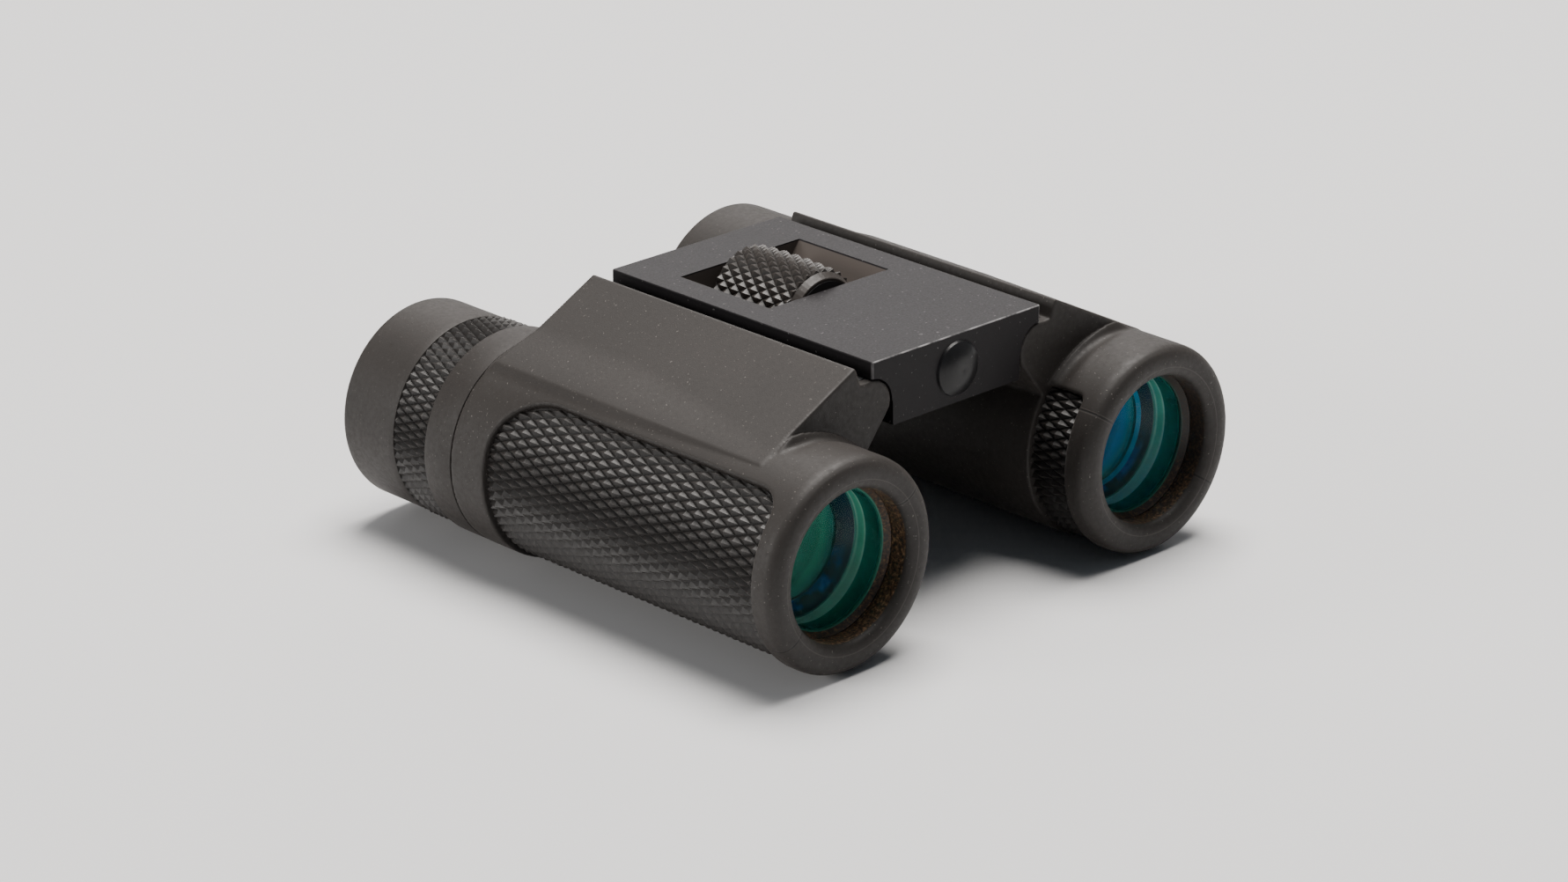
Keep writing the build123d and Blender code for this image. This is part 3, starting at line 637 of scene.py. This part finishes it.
def pad_piece(side):
    R = 15.5
    gap = 0.16
    s0, s1 = math.radians(PAD_A0) * R + gap, math.radians(PAD_A1) * R - gap
    s2, ys = math.radians(PAD_A2) * R - gap, STRIP_Y1 - gap
    ds, dy = 1.58, 4.1
    v, f = lattice_cells(s0 - 1, s2 + 1, PAD_Y0 - 1, PAD_Y1 + 1, ds, dy, phase=0.35)
    bm = clip_outline(v, f, round_rect(s0, s1, PAD_Y0 + gap, PAD_Y1 - gap, 7.9, 0.02, 10.1, 4.05))
    parts = [round_rect(s1, s2, PAD_Y0 + gap, ys, 0.7, 1.15, 0.0, 0.0, n=5)]
    # the concave fillet where the strip leaves the field, in slices
    fr, m = 3.0 + gap, 6
    def lim(q):
        return ys + fr - math.sqrt(max(0.0, fr * fr - (fr - q) ** 2))
    for k in range(m):
        q0, q1 = fr * k / m, fr * (k + 1) / m
        o = [(s1 + q0, ys), (s1 + q1, ys), (s1 + q1, lim(q1)), (s1 + q0, lim(q0))]
        parts.append(o)
    for o in parts:
        bm2 = clip_outline(v, f, o)
        tmp = bpy.data.meshes.new("tmp")
        bm2.to_mesh(tmp)
        bm.from_mesh(tmp)
        bm2.free()
        bpy.data.meshes.remove(tmp)
    bmesh.ops.remove_doubles(bm, verts=bm.verts, dist=2e-4)

    def r_of(s, y, h):
        r = 14.9 if h < -1 else 14.93 + 0.57 * h
        return (14.3 if h < -1 else r), s / R
    wrap(bm, r_of)
    me = bpy.data.meshes.new(side + "_grip_inlay")
    bmesh.ops.recalc_face_normals(bm, faces=bm.faces)
    bm.to_mesh(me)
    bm.free()
    n = len(me.vertices)
    co = np.empty(n * 3)
    me.vertices.foreach_get("co", co)
    P = to_row(co.reshape(-1, 3), side)
    me.vertices.foreach_set("co", P.ravel())
    if side == "left":
        me.flip_normals()
    me.update()
    ob = bpy.data.objects.new(side + "_grip_inlay", me)
    scene.collection.objects.link(ob)
    me.materials.append(M_GRIP)
    me.polygons.foreach_set("use_smooth", [False] * len(me.polygons))
    return replace(ob, side + "_barrel", "grip_rubber", side + "_grip_pad")


for side in ("right", "left"):
    pad_piece(side)


def knurl_ring(name, r_tip, depth, count, y0, y1, dy, prof_in, prof_out, mat, centre, y_shift=0.0, r_crown=None, plateau=0.12):
    """A closed ring: knurled band from y0 to y1, then plain outline points
    prof_out (from the y1 edge) and prof_in (from the y0 edge back inwards)."""
    ds = 2 * math.pi / count
    v, f = lattice_cells(0, 2 * math.pi, y0 - y_shift, y1 - y_shift, ds, dy, plateau=plateau)
    bm = clip_outline([(a, b + y_shift, c) for a, b, c in v], f, [(-1e-7 + 0, y0), (2 * math.pi, y0), (2 * math.pi, y1), (0, y1)])
    layer = bm.verts.layers.float.new("relief")
    for w in bm.verts:
        w[layer] = w.co.z
    def ring_from(edge_y, profile):
        edges = [e for e in bm.edges if len(e.link_faces) == 1 and all(abs(w.co.y - edge_y) < 1e-4 for w in e.verts)]
        for (r, yy) in profile:
            ret = bmesh.ops.extrude_edge_only(bm, edges=edges)
            nv = [g for g in ret["geom"] if isinstance(g, bmesh.types.BMVert)]
            edges = [g for g in ret["geom"] if isinstance(g, bmesh.types.BMEdge)]
            for w in nv:
                w.co.y = yy
                w.co.z = -r          # negative stands for an absolute radius
                w[layer] = 0.6
    ring_from(y0, prof_in)
    ring_from(y1, prof_out)
    for w in bm.verts:
        th, y, h = w.co
        if h < 0:
            r = -h
        else:
            tip = r_tip if r_crown is None else r_crown(y)
            r = tip - depth * (1 - h)
        w.co = (centre[0] + r * math.cos(th), y, centre[1] + r * math.sin(th))
    bmesh.ops.remove_doubles(bm, verts=bm.verts, dist=2e-3)
    bmesh.ops.recalc_face_normals(bm, faces=bm.faces)
    me = bpy.data.meshes.new(name)
    for w in bm.verts:
        w.co *= MM
    bm.to_mesh(me)
    bm.free()
    ob = bpy.data.objects.new(name, me)
    scene.collection.objects.link(ob)
    me.materials.append(mat)
    me.polygons.foreach_set("use_smooth", [False] * len(me.polygons))
    return ob


for side in ("right", "left"):
    cx = -AX if side == "right" else AX
    ob = knurl_ring(side + "_ring_knurl", 15.6, 0.5, 68, 27.15, 34.05, 3.6,
                    [(15.3, 27.02), (14.2, 27.0), (12.16, 27.0), (12.16, 33.8)], [(15.3, 34.18), (14.4, 34.2), (12.16, 34.2), (12.16, 33.8)],
                    M_GRIP, (cx, AZ))
    if side == "right":
        replace(ob, "right_diopter", "grip_rubber", "right_diopter_ring")
    else:
        replace(ob, "left_barrel", "grip_rubber", "left_eyepiece_ring")

# -------------------------------------------------------------- turned pieces
def turned(name, prof, mat, centre, n=160, closed=True):
    verts, faces = [], []
    k = len(prof)
    for i in range(n):
        a = 2 * math.pi * i / n
        ca, sa = math.cos(a), math.sin(a)
        for r, y in prof:
            verts.append(((centre[0] + r * ca) * MM, y * MM, (centre[1] + r * sa) * MM))
    for i in range(n):
        j = (i + 1) % n
        for p in range(k if closed else k - 1):
            q = (p + 1) % k
            faces.append((i * k + p, i * k + q, j * k + q, j * k + p))
    ob = mesh_object(name, verts, faces, mat)
    bm = bmesh.new()
    bm.from_mesh(ob.data)
    bmesh.ops.recalc_face_normals(bm, faces=bm.faces)
    for e in bm.edges:
        if len(e.link_faces) == 2 and e.calc_face_angle(0.0) > math.radians(38):
            e.smooth = False
    bm.to_mesh(ob.data)
    bm.free()
    return ob


def arc(cr, cy, r, a0, a1, n=8):
    return [(cr + r * math.cos(math.radians(a0 + (a1 - a0) * i / n)), cy + r * math.sin(math.radians(a0 + (a1 - a0) * i / n))) for i in range(n + 1)]


for side in ("right", "left"):
    cx = -AX if side == "right" else AX
    cup = [(13.3, 34.36), (15.05, 34.36), (15.3, 34.5), (15.39, 34.8), (15.4, 36.0), (15.4, 40.0), (15.4, 45.1)] \
        + arc(14.4, 45.27, 1.0, 4, 88, 8) + [(13.6, 46.27)] + arc(13.35, 45.5, 0.76, 95, 180, 6) + [(12.5, 44.6), (12.45, 43.0), (12.45, 39.1), (13.3, 39.1)]
    ob = turned(side + "_eyecup_rubber", cup, M_CUP, (cx, AZ))
    replace(ob, "right_diopter" if side == "right" else "left_barrel", "eyecup_rubber", side + "_eyecup")
    band = [(12.2, 20.98), (15.84, 20.98), (15.92, 21.04), (15.96, 21.2), (15.97, 23.5), (15.95, 26.5), (15.86, 26.75), (15.65, 26.86), (12.2, 26.88)]
    ob = turned(side + "_eyepiece_band_rubber", band, M_BAND, (cx, AZ))
    replace(ob, side + "_barrel", "armour_rubber", side + "_eyepiece_base_band")

# --------------------------------------------------------------- focus wheel
def wheel_r(y):
    if y < -6.5:
        return 7.35 + (y + 8.2) / 1.7 * 0.35
    return 7.9 - 0.25 * ((y - 0.9) / 7.4) ** 2


ob = knurl_ring("focus_wheel_knurl", 7.9, 0.60, 27, -6.95, 7.75, 2.45,
                [(7.15, -7.05), (7.0, -7.3), (6.5, -8.12), (6.35, -8.2), (6.0, -8.2), (6.0, -7.8)], [(7.2, 8.0), (6.9, 8.18), (6.0, 8.18), (6.0, 7.8)],
                M_WHEEL, (0.0, 34.5), y_shift=0.51, r_crown=wheel_r, plateau=0.08)
replace(ob, "focus_wheel", "wheel_rubber", "focus_wheel_grip")

# ---------------------------------------------------------- carried CAD nodes
mats = {"bridge_body": M_BRIDGE, "bridge_bottom_cover": M_BRIDGE, "cover_screws": M_STEEL, "front_axle_cap": M_CAP, "rear_axle_cap": M_CAP,
        "spindle_bushes": M_BRASS, "focus_spindle": M_STEEL, "spindle_clip": M_STEEL, "focus_wheel_core": M_BLACK, "focus_carriage": M_BRASS}
for s in ("right_", "left_"):
    mats.update({s + "front_hinge_pin": M_STEEL, s + "rear_hinge_pin": M_STEEL, s + "barrel_housing": M_BLACK, s + "objective_retaining_ring": M_RETAIN,
                 s + "objective_front_lens": M_OBJ, s + "objective_rear_lens": M_DISC_R if s == "right_" else M_DISC_L, s + "objective_cell": M_CELL, s + "focus_lens_cell": M_BLACK,
                 s + "focus_lens": M_GLASS, s + "prism_cage": M_BLACK, s + "roof_prism": M_GLASS, s + "second_prism": M_GLASS, s + "field_stop": M_BLACK,
                 s + "eyepiece_tube": M_BLACK, s + "field_lens": M_GLASS, s + "eye_lens": M_EYE, s + "eyepiece_spacer": M_BLACK})
for name, mat in mats.items():
    ob = nodes[name]
    ob.data.materials.clear()
    ob.data.materials.append(mat)

# -------------------------------------------------------------------- stage
bpy.ops.mesh.primitive_plane_add(size=6.0, location=(0, 0, -0.0003))
floor = bpy.context.object
floor.name = "floor"
fm, nt, b = new_material("floor_paper")
b.inputs["Roughness"].default_value = 0.9
nt.links.new(mix(nt, noise(nt, coords(nt), 3.0), (0.64, 0.64, 0.645), (0.68, 0.68, 0.685)), b.inputs["Base Color"])
floor.data.materials.append(fm)

world = bpy.data.worlds.new("studio")
scene.world = world
world.use_nodes = True
bg = world.node_tree.nodes["Background"]
bg.inputs["Color"].default_value = (0.80, 0.90, 1.0, 1.0)
bg.inputs["Strength"].default_value = 0.12


def area(name, loc, at, size, power, color=(1, 1, 1)):
    d = bpy.data.lights.new(name, "AREA")
    d.shape = "RECTANGLE"
    d.size, d.size_y = size
    d.energy = power
    d.color = color
    o = bpy.data.objects.new(name, d)
    o.location = loc
    o.rotation_euler = (Vector(at) - Vector(loc)).to_track_quat("-Z", "Y").to_euler()
    scene.collection.objects.link(o)
    return o


area("key_top", (0.25, 0.12, 1.20), (0, 0, 0.02), (0.8, 0.8), 39.0, (1.0, 0.965, 0.93))
area("back_card", (1.10, 1.15, 0.65), (0, 0, 0.03), (1.1, 0.5), 5.5, (1.0, 0.96, 0.94))
area("side_left", (-1.15, 0.50, 0.42), (0, 0, 0.02), (0.36, 0.36), 9.0, (1.0, 0.97, 0.94))
area("front_low", (-0.5, -1.2, 0.35), (0, 0, 0.02), (0.5, 0.3), 0.10, (0.78, 0.90, 1.0))
